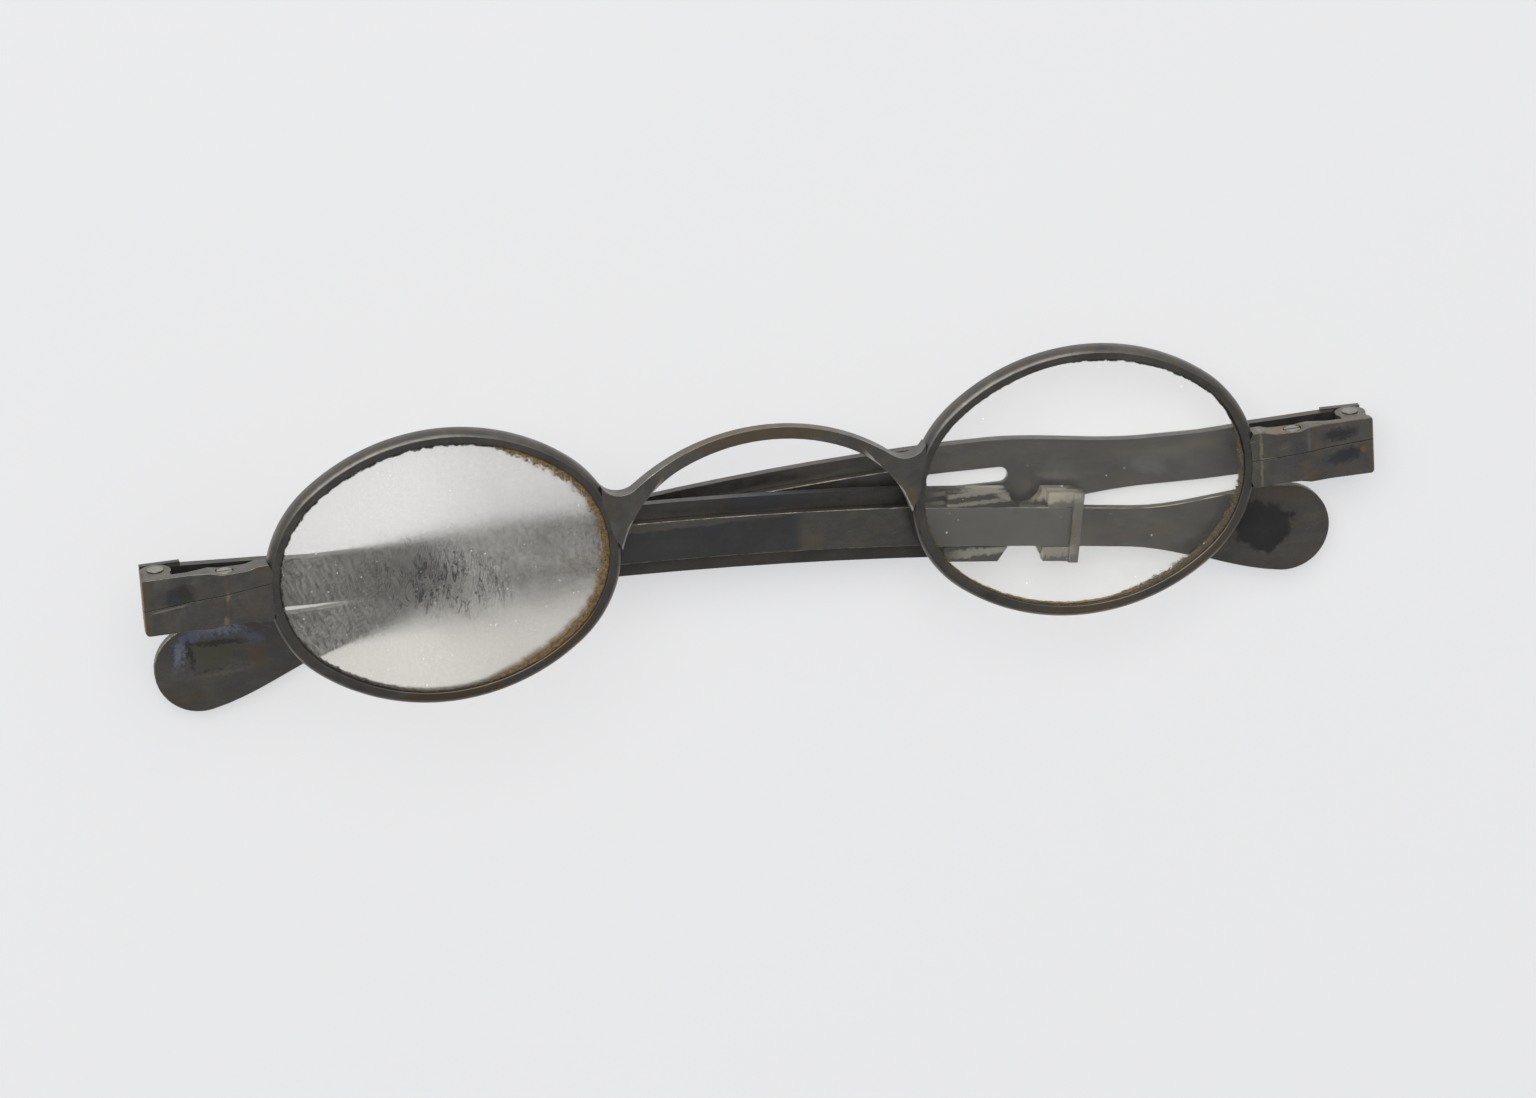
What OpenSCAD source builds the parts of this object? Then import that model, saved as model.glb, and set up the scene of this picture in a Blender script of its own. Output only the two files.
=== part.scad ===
// Folding spectacles with oval lenses, an arched bridge and temples that slide longer.
// Modelled folded and lying on the right temple, +Z up, +X to the right end, +Y to the brow.
// Two local frames are used. The front's frame has its origin midway between the lenses on
// the front face, with +Z out of that face. A temple's frame has its origin at the hinge,
// with X along the temple, Y up its width and Z from its outer face towards the lenses.

/* [Rims] */
// Width of a lens rim over its outside
rim_width = 32; // [28:0.5:36]
// Height of a lens rim over its outside
rim_height = 25.6; // [22:0.2:27]
// Distance between the two lens centres
lens_spacing = 58.4; // [57:0.2:64]
// Width of the rim's front face, from outside to glass
rim_face = 1.15; // [1:0.05:1.4]
// Depth of the rim from front to back
rim_depth = 1.65; // [1.4:0.05:2.2]
// Rounding of the rim's outer corners
rim_round = 0.35; // [0.1:0.05:0.45]
// Depth of the groove that holds the glass
groove_depth = 0.45; // [0.3:0.05:0.55]

/* [Lenses] */
// Thickness of the ground edge that sits in the groove
lens_edge = 0.7; // [0.5:0.05:0.8]
// Thickness of the glass at its middle
lens_middle = 1.7; // [1.3:0.1:2]
// Radius of each of the two domed faces
lens_dome_r = 300; // [260:10:600]

/* [Bridge] */
// Height of the arch's underside above the lens centres
arch_rise = 8.15; // [7.5:0.05:8.6]
// Radius of the arch's underside
arch_r = 17.5; // [16:0.5:19]
// Thickness of the arch seen from the front
arch_band = 1.1; // [0.8:0.05:1.4]
// Depth of the arch at its top, front to back
arch_depth = 1.05; // [0.8:0.05:1.3]
// Radius of the turn from the arch into its legs
leg_turn_r = 10.7; // [9:0.1:12]
// Angle on the arch where that turn starts
leg_turn_from = 25; // [22:0.5:28]
// Angle from the level where the turn ends against the rim
leg_turn_to = 10; // [8:1:13]
// Radius of the hollow between arch and rim
valley_r = 2.1; // [1.6:0.1:2.5]

/* [End pieces] */
// Distance from the lens centre to the outer end of the end piece
end_reach = 26.95; // [25.5:0.05:29]
// Height of the end piece at the hinge
end_height = 5.3; // [5:0.1:6]
// Height of its neck beside the rim
neck_height = 4.8; // [4.4:0.1:5]
// Thickness of the plate in front of the hinge
plate_t = 0.85; // [0.7:0.05:1]
// Radius of the hollow between that neck and the rim
neck_fillet = 3; // [1:0.1:3.2]
// How far the front stands out over the neck
ridge_rise = 0.35; // [0.1:0.05:0.5]
// Gap along the parting between upper and lower halves
parting_gap = 0.06; // [0.04:0.01:0.1]
// Distance from the lens centre to the closing screw
screw_reach = 19.5; // [18.8:0.1:20.2]
// Diameter of the closing screw's head
screw_head_d = 1.5; // [1.2:0.1:1.6]
// Height of the closing screw's head
screw_head_h = 0.45; // [0.3:0.05:0.6]
// Diameter of the closing screw's shank
screw_d = 0.9; // [0.7:0.05:1]
// How deep the screw goes into the lower half
screw_bite = 1.6; // [1.2:0.1:2]

/* [Hinges] */
// Diameter of the hinge barrel
barrel_d = 2.8; // [2.6:0.05:2.9]
// Diameter of the hinge pin
pin_d = 1.1; // [0.9:0.05:1.3]
// Diameter of the pin's peened heads
pin_head_d = 1.5; // [1.4:0.05:1.8]
// Height of each peened head
pin_head_h = 0.12; // [0.06:0.02:0.2]
// Height of the temple's own knuckle
knuckle_h = 1.7; // [1.5:0.1:2]
// Thickness of the leaf that closes over the barrel
leaf_t = 0.6; // [0.5:0.05:0.7]
// Height of that leaf
leaf_height = 5.2; // [4.8:0.1:5.6]
// How far the leaf reaches past the hinge axis
leaf_reach = 1.2; // [1:0.05:1.25]

/* [Temples] */
// Thickness of a temple bar
bar_t = 0.9; // [0.8:0.05:1.1]
// Width of a temple bar where it leaves the hinge's leaf
bar_root = 4.8; // [4.4:0.1:5]
// Distance from the hinge over which the root narrows to the neck
root_to = 14; // [10:0.5:16]
// Width of a temple bar at its neck
bar_neck = 4.4; // [4:0.1:4.8]
// Width of a temple bar along its slotted part
bar_width = 6.6; // [6.2:0.1:7]
// Distance from the hinge to the end of the bar
bar_length = 83.8; // [82:0.2:86]
// Where the flare from neck to full width starts
flare_from = 19; // [17:0.5:21]
// Where the flare reaches the full width
flare_to = 33; // [31:0.5:34]
// Where the bar starts to curve down
bend_from = 27.4; // [26:0.2:29]
// Distance of the neck's middle below the hinge's middle
bar_drop = 0.55; // [0.3:0.05:0.7]
// Radius of the left temple's curve
left_bend_r = 400; // [360:5:440]
// Radius of the right temple's curve
right_bend_r = 265; // [240:5:300]
// Turn of the left temple up from square to its hinge
left_set = -0.2; // [-0.4:0.05:0.2]
// Turn of the right temple up from square to its hinge
right_set = 1.05; // [0.8:0.05:1.6]
// Angle that the right temple lies behind the front
right_fold = 3.5; // [3.4:0.1:3.8]

/* [Slot and guides] */
// Width of the slot
slot_width = 1.5; // [1.3:0.05:1.7]
// Distance from the hinge to the start of the slot
slot_from = 31.4; // [31:0.2:32]
// Distance from the end of the slot to the end of the bar
slot_margin = 8.8; // [8.6:0.1:10]
// Width of the recess for the stud's head around the slot
recess_width = 2.7; // [2.5:0.05:3]
// Depth of that recess
recess_depth = 0.42; // [0.35:0.01:0.5]
// Distance from the middle of the two notches to the end of the bar
notch_margin = 5.2; // [5:0.05:5.5]
// Width of the notches
notch_width = 3.3; // [2.8:0.1:3.4]
// Length of the inner cheeks, up to the middle of the notches
cheek_length = 7.2; // [6:0.2:9]
// Length of the collar at the end of the bar
collar_length = 3.2; // [2.4:0.1:3.3]
// Width of the strap that crosses the slide
strap_width = 0.9; // [0.7:0.05:1.2]
// Thickness of that strap
strap_t = 0.35; // [0.25:0.05:0.4]

/* [Slides] */
// Width of a slide
slide_width = 3.7; // [3.4:0.1:4]
// Thickness of a slide
slide_t = 0.85; // [0.7:0.05:1]
// Length of the slide past its stud, at the inner end
slide_tail = 1.6; // [1.4:0.1:2]
// Distance from where the slide starts to widen to the middle of its round end
paddle_reach = 14.9; // [14:0.1:16]
// Radius of the round end
paddle_r = 4.1; // [3.8:0.1:4.3]
// Diameter of the stud in the slot
stud_d = 1.4; // [1.2:0.05:1.6]
// Diameter of the stud's head
stud_head_d = 2.4; // [2:0.1:2.4]
// How far the left slide is pulled out, as it lies
left_pull = 4.6; // [1:0.1:8]
// How far the right slide is pulled out, as it lies
right_pull = 7.6; // [1:0.1:10]

/* [Clearances] */
// Gap round the glass in its groove
glass_gap = 0.05; // [0.03:0.01:0.08]
// Gap between the hinge pin and the temple's knuckle
pin_gap = 0.04; // [0.02:0.01:0.06]
// Gap between other hinge parts that pass each other
hinge_gap = 0.05; // [0.04:0.01:0.1]
// Gap between the slide and what guides it
slide_gap = 0.05; // [0.03:0.01:0.08]

/* [Hidden] */
$fn = 96;

silver = "#4b4843";
pale_silver = "#6f6a60";
solder = "#8c8672";
clear = [0.85, 0.9, 0.9, 0.35];

// The rim is an oval of four arcs, laid out by the usual construction on its half axes
half_w = rim_width / 2;
half_h = rim_height / 2;
diagonal = norm([half_w, half_h]);
part_diagonal = (diagonal - (half_w - half_h)) / 2;
end_r = part_diagonal * diagonal / half_w;
side_r = (diagonal - part_diagonal) * diagonal / half_h;
end_x = half_w - end_r;
side_y = side_r - half_h;
join_angle = atan2(side_y, end_x);
lens_x = lens_spacing / 2;
lens_z = -rim_depth / 2;
groove_width = lens_edge + 2 * glass_gap;
arc_overlap = 5;
arc_trim = 1.5;

// The bridge's arch, the turn into its leg and the hollow beside the rim
arch_mid = [0, arch_rise - arch_r];
turn_mid = arch_mid + (arch_r - leg_turn_r) * [sin(leg_turn_from), cos(leg_turn_from)];
leg_end = turn_mid + leg_turn_r * [cos(leg_turn_to), sin(leg_turn_to)];
near_arc_mid = [lens_x - end_x, 0];
valley_mid = circles_meet(arch_mid, arch_r + arch_band + valley_r, near_arc_mid, end_r + valley_r);
thin_r = (pow(leg_end[0], 2) + pow(rim_depth - arch_depth, 2)) / (2 * (rim_depth - arch_depth));

// The end pieces and hinges
end_x_out = lens_x + end_reach;
screw_x = lens_x + screw_reach;
rim_out_x = lens_x + half_w;
neck_x = rim_out_x - 1.2;
ridge_x = rim_out_x + 3.9;
plate_x = ridge_x + 2.9;
lug_in = 1.2;
screw_gap = 0.05;
barrel_r = barrel_d / 2;
hinge_x = end_x_out - barrel_r - 0.15;
hinge_z = -plate_t - hinge_gap - barrel_r;
axis_n = leaf_t + hinge_gap + barrel_r;
neck_from = 1.3;
leaf_run = 2.4;
neck_back = -rim_depth;
screw_z = neck_back + (ridge_rise - neck_back) * 0.48;

// The slide lies on the bar's inner face, and its guides stand as high as it does
slide_z = bar_t + slide_gap;
guide_h = slide_t + 2 * slide_gap;
guide_y = slide_width / 2 + slide_gap;
recess_side = (recess_width - slot_width) / 2;
slot_to = bar_length - slot_margin;
notch_at = bar_length - notch_margin;
cheek_from = notch_at - cheek_length;
collar_from = bar_length - collar_length;
stud_spare = 0.65;
slide_run = bar_length - slot_from - slot_width / 2 - stud_spare;
left_stud_at = bar_length - slide_run + left_pull;
right_stud_at = bar_length - slide_run + right_pull;
cheek_inset = 0.03;
seam = 0.1;

// The tilt of the front, and the middle of the whole folded object
front_lift = axis_n + hinge_x * sin(right_fold) - hinge_z * cos(right_fold);
right_hinge_at = hinge_x * cos(right_fold) + hinge_z * sin(right_fold);
right_paddle = turned(on_bend(right_bend_r, right_stud_at + slide_run, paddle_reach), right_set);
x_low = min(
    -end_x_out * cos(right_fold) - plate_t * sin(right_fold),
    right_hinge_at - right_paddle[0] - paddle_r
);
x_high = end_x_out * cos(right_fold);
y_low = right_paddle[1] - paddle_r;
y_high = half_h;
middle = [(x_low + x_high) / 2, (y_low + y_high) / 2];

// Where two circles meet, on the side of greater Y
function circles_meet(a, ra, b, rb) =
    let (d = norm(b - a), u = (b - a) / d, x = (d * d + ra * ra - rb * rb) / (2 * d))
    a + u * x + [-u[1], u[0]] * sqrt(ra * ra - x * x);

function turned(p, angle) = [
    p[0] * cos(angle) - p[1] * sin(angle),
    p[0] * sin(angle) + p[1] * cos(angle)
];

// A smooth step from 0 to 1
function ease(t) = t * t * (3 - 2 * t);

// Turn of a bend of radius r at a distance s from the hinge, in degrees
function bend_turn(r, s) = (s - bend_from) / r * 180 / PI;

// The point at a distance s along the bend, moved on by run along the tangent there
function on_bend(r, s, run = 0) =
    [bend_from, -bar_drop - r] + turned([run, r], -bend_turn(r, s));

function arc(mid, r, from, to, steps) =
    [for (i = [0:steps]) let (a = from + (to - from) * i / steps) mid + r * [cos(a), sin(a)]];

// Placing

module lay_down() {
    translate([-middle[0], -middle[1], 0]) children();
}

module as_front() {
    lay_down() translate([0, 0, front_lift]) rotate([0, right_fold, 0]) children();
}

module on_side(side) {
    mirror([side < 0 ? 1 : 0, 0, 0]) children();
}

module as_left_temple() {
    as_front() translate([-hinge_x, 0, hinge_z - axis_n]) children();
}

module as_right_temple() {
    lay_down() translate([right_hinge_at, 0, 0]) mirror([1, 0, 0]) children();
}

// Puts a shape at a distance s along the bend of a temple
module at_bend(r, s) {
    translate([bend_from, -bar_drop - r, 0]) rotate(-bend_turn(r, s)) translate([0, r, 0]) children();
}

// A curved strip that follows the bend from one distance to another
module strip(r, from, to, width, height, offset = 0) {
    sweep = bend_turn(r, to) - bend_turn(r, from);
    translate([bend_from, -bar_drop - r, 0])
        rotate(90 - bend_turn(r, to))
            rotate_extrude(angle = sweep, $fn = 720)
                translate([r + offset - width / 2, 0]) square([width, height]);
}

// A strip with round ends, its straight part a little short of their middles
module round_strip(r, from, to, width, height) {
    strip(r, from + width / 2 + seam, to - width / 2 - seam, width, height);
    for (s = [from + width / 2, to - width / 2])
        at_bend(r, s) cylinder(d = width, h = height);
}

// Rims and lenses

// The rim's section with its groove, with r as the radius of its outside
module rim_section(r) {
    back = -rim_depth + rim_round;
    groove_r = r - rim_face + groove_depth;
    polygon(concat(
        [[r - rim_face, -rim_depth]],
        arc([r - rim_round, back], rim_round, -90, 0, 3),
        arc([r - rim_round, -rim_round], rim_round, 0, 90, 3),
        [[r - rim_face, 0], [r - rim_face, lens_z + groove_width / 2]],
        [[groove_r, lens_z + groove_width / 2], [groove_r, lens_z - groove_width / 2]],
        [[r - rim_face, lens_z - groove_width / 2]]
    ));
}

// A turn of the section given as children round the end arc or the side arc of the oval.
// The end arc runs on into the side arc a little, so that the two become one solid.
module end_arc() {
    translate([end_x, 0, 0]) rotate(-join_angle - arc_overlap)
        rotate_extrude(angle = 2 * (join_angle + arc_overlap)) children();
}

module side_arc() {
    translate([0, -side_y, 0]) rotate(join_angle + arc_trim)
        rotate_extrude(angle = 180 - 2 * (join_angle + arc_trim)) children();
}

module rim(side) {
    color(silver) as_front() on_side(side) translate([lens_x, 0, 0]) difference() {
        for (turn = [0, 180]) rotate(turn) {
            end_arc() rim_section(end_r);
            side_arc() rim_section(side_r);
        }
        translate([half_w, 0, lens_z]) cube([3 * rim_face, parting_gap, 2 * rim_depth], center = true);
    }
}

// A plate with the rim's oval outline, drawn in by inset
module oval(inset, height) {
    for (turn = [0, 180]) rotate(turn) {
        translate([end_x, 0, 0]) cylinder(r = end_r - inset, h = height);
        side_arc() square([side_r - inset, height]);
    }
}

// The domed glass before its oval outline is cut, as a round disc
module domed_disc() {
    steps = 6;
    reach = half_w;
    heights = [for (i = [0:steps]) lens_middle / 2 - pow(reach * i / steps, 2) / (2 * lens_dome_r)];
    rotate_extrude() polygon(concat(
        [for (i = [0:steps]) [reach * i / steps, heights[i]]],
        [for (i = [0:steps]) [reach * (steps - i) / steps, -heights[steps - i]]]
    ));
}

module lens(side) {
    color(clear) as_front() on_side(side) translate([lens_x, 0, lens_z]) {
        translate([0, 0, -lens_edge / 2]) oval(rim_face - groove_depth + glass_gap, lens_edge);
        intersection() {
            translate([0, 0, -lens_middle]) oval(rim_face + glass_gap, 2 * lens_middle);
            domed_disc();
        }
    }
}

// Bridge

// The right half of the bridge's outline, from the top of the arch round to its underside
function half_bridge() = let (
    arch_out = arch_r + arch_band,
    to_valley = valley_mid - arch_mid,
    to_rim = near_arc_mid - valley_mid,
    valley_from = atan2(to_valley[1], to_valley[0]),
    valley_to = atan2(to_rim[1], to_rim[0])
) concat(
    arc(arch_mid, arch_out, 90, valley_from, 16),
    arc(valley_mid, valley_r, valley_from + 180, valley_to + 360, 10),
    [near_arc_mid],
    arc(turn_mid, leg_turn_r, leg_turn_to, 90 - leg_turn_from, 16),
    arc(arch_mid, arch_r, 90 - leg_turn_from, 90, 8)
);

// The same points on the other side, in the order that closes the outline
function mirrored(points) =
    [for (i = [2:len(points) - 1]) let (p = points[len(points) - i]) [-p[0], p[1]]];

// What is cut away behind the arch, seen from above, to thin it towards its top
module behind_arch() {
    half = asin(leg_end[0] / thin_r);
    polygon(concat(
        arc([0, -arch_depth - thin_r], thin_r, 90 - half, 90 + half, 16),
        [[-leg_end[0], -2 * rim_depth], [leg_end[0], -2 * rim_depth]]
    ));
}

module bridge() {
    color(silver) as_front() difference() {
        translate([0, 0, -rim_depth])
            linear_extrude(rim_depth) polygon(concat(half_bridge(), mirrored(half_bridge())));
        for (side = [-1, 1]) on_side(side)
            translate([near_arc_mid[0], 0, -2 * rim_depth]) cylinder(r = end_r, h = 4 * rim_depth);
        translate([0, rim_height, 0]) rotate([90, 0, 0]) linear_extrude(2 * rim_height) behind_arch();
    }
}

// A round bar along Y, from one height to another
module along_y(d, from, to) {
    translate([0, from, 0]) rotate([-90, 0, 0]) cylinder(d = d, h = to - from);
}

// End pieces

// The end piece seen from above, front at the top
module end_section() {
    corner = 0.35;
    polygon(concat(
        [[neck_x, neck_back], [neck_x, 0], [ridge_x, ridge_rise], [plate_x, 0]],
        arc([end_x_out - corner, -corner], corner, 90, 0, 5),
        [[end_x_out, -plate_t], [plate_x, -plate_t], [ridge_x, neck_back]]
    ));
}

// The end piece seen from the front, upper half
module end_outline() {
    corner = 0.35;
    top = end_height / 2;
    neck_top = neck_height / 2;
    rise = neck_top + neck_fillet;
    run = sqrt(pow(end_r + neck_fillet, 2) - rise * rise);
    polygon(concat(
        [[lens_x + end_x, 0]],
        arc([lens_x + end_x + run, rise], neck_fillet, 180 + atan2(rise, run), 270, 8),
        [[ridge_x, neck_top], [ridge_x + 1, top]],
        arc([end_x_out - corner, top - corner], corner, 90, 0, 5),
        [[end_x_out, 0]]
    ));
}

// Half of an end piece without its screw holes, on the +Y side
module end_half() {
    top = end_height / 2;
    lug_from = knuckle_h / 2 + hinge_gap;
    difference() {
        union() {
            intersection() {
                translate([0, top, 0]) rotate([90, 0, 0])
                    linear_extrude(top - parting_gap / 2) end_section();
                translate([0, 0, -2 * rim_depth]) linear_extrude(4 * rim_depth) end_outline();
            }
            translate([hinge_x, 0, hinge_z]) along_y(barrel_d, lug_from, top);
            translate([hinge_x - lug_in, lug_from, hinge_z])
                cube([2 * lug_in, top - lug_from, -hinge_z - plate_t / 2]);
        }
        translate([hinge_x, 0, hinge_z]) along_y(pin_d, 0, end_height);
        translate([lens_x + end_x, 0, -2 * rim_depth]) cylinder(r = end_r, h = 4 * rim_depth);
    }
}

module upper_end_piece(side) {
    neck_top = neck_height / 2;
    color(silver) as_front() on_side(side) difference() {
        end_half();
        translate([screw_x, 0, screw_z]) {
            along_y(screw_d + 2 * screw_gap, 0, end_height);
            along_y(screw_head_d + 2 * screw_gap, neck_top - screw_head_h, end_height);
        }
    }
}

module lower_end_piece(side) {
    color(silver) as_front() on_side(side) difference() {
        mirror([0, 1, 0]) end_half();
        translate([screw_x, 0, screw_z]) along_y(screw_d, -screw_bite, end_height);
    }
}

module closing_screw(side) {
    head_from = neck_height / 2 - screw_head_h;
    color(pale_silver) as_front() on_side(side) translate([screw_x, 0, screw_z]) difference() {
        union() {
            along_y(screw_d, -screw_bite, head_from + screw_head_h / 2);
            along_y(screw_head_d, head_from, head_from + screw_head_h);
        }
        translate([0, head_from + screw_head_h, 0])
            cube([2 * screw_head_d, screw_head_h, screw_head_d / 6], center = true);
    }
}

module hinge_pin(side) {
    top = end_height / 2;
    color(pale_silver) as_front() on_side(side) translate([hinge_x, 0, hinge_z]) {
        along_y(pin_d, -top, top);
        along_y(pin_head_d, top, top + pin_head_h);
        along_y(pin_head_d, -top - pin_head_h, -top);
    }
}

// Temples

// The bar's half width at a distance s from the hinge
function half_width(s) = let (t = (s - flare_from) / (flare_to - flare_from))
    (bar_neck + (bar_width - bar_neck) * ease(min(max(t, 0), 1))) / 2;

// How much of the root's extra width is left at a distance s from the hinge, from 1 to 0
function root_share(s) = max(root_to - s, 0) / (root_to - neck_from);

// A point of the neck's edge, up or down from its middle line, which starts level with the hinge
function neck_edge(r, s, up) = let (
    along = max(s, bend_from),
    half = half_width(s) + root_share(s) * (bar_root - bar_neck) / 2
)
    on_bend(r, along) + [min(s - bend_from, 0), root_share(s) * bar_drop]
    + turned([0, up * half], -bend_turn(r, along));

module neck(r) {
    steps = 14;
    neck_to = flare_to - 4 * seam;
    flare = [for (i = [0:steps]) flare_from + (neck_to - flare_from) * i / steps];
    places = concat([neck_from, root_to], flare);
    count = len(places);
    linear_extrude(bar_t) polygon(concat(
        [for (s = places) neck_edge(r, s, 1)],
        [for (i = [1:count]) neck_edge(r, places[count - i], -1)]
    ));
}

// The two notches that part the inner cheeks from the collar
module notches(r) {
    deep = bar_width;
    floor = guide_y - seam;
    height = 2 + 2 * bar_t + guide_h;
    at_bend(r, notch_at) translate([0, 0, -1]) {
        translate([0, floor + notch_width / 2, 0]) cylinder(d = notch_width, h = height);
        translate([-0.49 * notch_width, floor + notch_width / 2, 0])
            cube([0.98 * notch_width, deep, height]);
        linear_extrude(height) polygon([
            [-notch_width * 0.4, -floor], [notch_width * 0.4, -floor],
            [notch_width, -floor - deep / 2], [-notch_width, -floor - deep / 2]
        ]);
    }
}

// Raised strips on both sides of the slide, standing on or in the bar
module cheeks(r, from, to, sunk = 0) {
    width = bar_width / 2 - guide_y - cheek_inset;
    for (up = [-1, 1]) translate([0, 0, bar_t - sunk])
        strip(r, from, to, width, guide_h + sunk, up * (guide_y + width / 2));
}

module temple_bar(r, set) {
    difference() {
        rotate(set) difference() {
            union() {
                neck(r);
                strip(r, flare_to - 5 * seam, bar_length, bar_width, bar_t);
                cheeks(r, cheek_from, notch_at, bar_t / 2);
            }
            translate([0, 0, -1]) round_strip(r, slot_from, slot_to, slot_width, bar_t + 2);
            translate([0, 0, -1]) round_strip(
                r, slot_from - recess_side, slot_to + recess_side, recess_width, recess_depth + 1
            );
            notches(r);
        }
    }
    difference() {
        union() {
            translate([-leaf_reach, -leaf_height / 2, 0])
                cube([leaf_reach + leaf_run, leaf_height, leaf_t]);
            translate([0, 0, axis_n]) along_y(barrel_d, -knuckle_h / 2, knuckle_h / 2);
            translate([-leaf_reach, -knuckle_h / 2, leaf_t / 2])
                cube([2 * leaf_reach, knuckle_h, axis_n - leaf_t / 2]);
        }
        translate([0, 0, axis_n]) along_y(pin_d + 2 * pin_gap, -knuckle_h, knuckle_h);
    }
}

module collar(r, set) {
    rotate(set) {
        cheeks(r, collar_from, bar_length);
        translate([0, 0, bar_t + guide_h])
            strip(r, bar_length - strap_width, bar_length, bar_width, strap_t);
    }
}

// The slide, with its stud at a distance s from the hinge
module slide(r, set, s) {
    steps = 10;
    rotate(set) difference() {
        translate([0, 0, slide_z]) {
            strip(r, s - slide_tail, s + slide_run, slide_width, slide_t);
            at_bend(r, s + slide_run) {
                linear_extrude(slide_t) polygon(concat(
                    [for (i = [0:steps]) [paddle_reach * i / steps, paddle_half(i / steps)]],
                    [for (i = [0:steps]) [paddle_reach * (1 - i / steps), -paddle_half(1 - i / steps)]]
                ));
                translate([paddle_reach, 0, 0]) cylinder(r = paddle_r, h = slide_t);
            }
        }
        at_bend(r, s) cylinder(d = stud_d, h = 2 * slide_z + slide_t);
    }
}

function paddle_half(t) = slide_width / 2 + (paddle_r - slide_width / 2) * ease(t);

module slide_stud(r, set, s) {
    rotate(set) at_bend(r, s) {
        translate([0, 0, slide_gap]) cylinder(d = stud_head_d, h = recess_depth - 2 * slide_gap);
        translate([0, 0, recess_depth / 2]) cylinder(d = stud_d, h = slide_z + slide_t - recess_depth / 2);
    }
}

rim(-1);  // left_rim
rim(1);  // right_rim
bridge();
upper_end_piece(-1);  // left_upper_end_piece
upper_end_piece(1);  // right_upper_end_piece
lower_end_piece(-1);  // left_lower_end_piece
lower_end_piece(1);  // right_lower_end_piece
lens(-1);  // left_lens
lens(1);  // right_lens
closing_screw(-1);  // left_closing_screw
closing_screw(1);  // right_closing_screw
hinge_pin(-1);  // left_hinge_pin
hinge_pin(1);  // right_hinge_pin
color(silver) as_left_temple() temple_bar(left_bend_r, left_set);  // left_temple_bar
color(silver) as_right_temple() temple_bar(right_bend_r, right_set);  // right_temple_bar
color(solder) as_left_temple() collar(left_bend_r, left_set);  // left_collar
color(solder) as_right_temple() collar(right_bend_r, right_set);  // right_collar
color(silver) as_left_temple() slide(left_bend_r, left_set, left_stud_at);  // left_slide
color(silver) as_right_temple() slide(right_bend_r, right_set, right_stud_at);  // right_slide
color(pale_silver) as_left_temple() slide_stud(left_bend_r, left_set, left_stud_at);  // left_slide_stud
color(pale_silver) as_right_temple() slide_stud(right_bend_r, right_set, right_stud_at);  // right_slide_stud
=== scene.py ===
import bpy
import bmesh
import math
from mathutils import Matrix, Vector


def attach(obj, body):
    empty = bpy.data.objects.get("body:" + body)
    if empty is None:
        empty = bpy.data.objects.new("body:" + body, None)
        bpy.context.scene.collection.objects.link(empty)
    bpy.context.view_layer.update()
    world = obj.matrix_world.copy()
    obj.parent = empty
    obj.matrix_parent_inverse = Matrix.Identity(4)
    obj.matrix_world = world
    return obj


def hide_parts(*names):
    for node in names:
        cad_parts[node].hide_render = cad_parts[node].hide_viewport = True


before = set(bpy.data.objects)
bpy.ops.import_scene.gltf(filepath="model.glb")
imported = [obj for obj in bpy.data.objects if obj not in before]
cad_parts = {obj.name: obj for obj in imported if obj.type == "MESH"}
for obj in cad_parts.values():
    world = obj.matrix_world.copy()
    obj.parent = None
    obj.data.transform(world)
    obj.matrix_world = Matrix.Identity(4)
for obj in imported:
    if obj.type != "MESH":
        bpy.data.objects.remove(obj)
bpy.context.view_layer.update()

# Sizes in millimetres, the same as in the part's source
MM = 0.001
FOLD = math.radians(3.5)
LIFT = 7.678960
MIDDLE = (-0.025946, -0.586896)
HALF_W, HALF_H = 16.0, 12.8
LENS_X = 29.2
RIM_FACE, RIM_DEPTH = 1.15, 1.65
LENS_Z = -RIM_DEPTH / 2
LENS_EDGE, LENS_MIDDLE, DOME_R = 0.7, 1.7, 300.0
ARCH_MID, ARCH_OUT = (0.0, -9.35), 18.6
HINGE_X, HINGE_Z, AXIS_N = 54.6, -2.3, 2.05
RIGHT_HINGE_AT = 54.357736
BLOCK_FROM, BLOCK_LONG = 45.2, 10.8

# The frames in which the front and the two temples are drawn
FRONT = Matrix.Translation((-MIDDLE[0], -MIDDLE[1], LIFT)) @ Matrix.Rotation(FOLD, 4, "Y")
LEFT = FRONT @ Matrix.Translation((-HINGE_X, 0, HINGE_Z - AXIS_N))
RIGHT = (
    Matrix.Translation((RIGHT_HINGE_AT - MIDDLE[0], -MIDDLE[1], 0))
    @ Matrix.Scale(-1, 4, (1, 0, 0))
)
INTO_FRONT = FRONT.inverted()

# The rim's outline is four arcs: two round the ends and two along the sides
DIAGONAL = math.hypot(HALF_W, HALF_H)
PART = (DIAGONAL - (HALF_W - HALF_H)) / 2
END_R = PART * DIAGONAL / HALF_W
SIDE_R = (DIAGONAL - PART) * DIAGONAL / HALF_H
END_X, SIDE_Y = HALF_W - END_R, SIDE_R - HALF_H
JOIN = math.atan2(SIDE_Y, END_X)
BRIDGE_END_X, BLOCK_END_X = LENS_X - END_X, LENS_X + END_X

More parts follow.
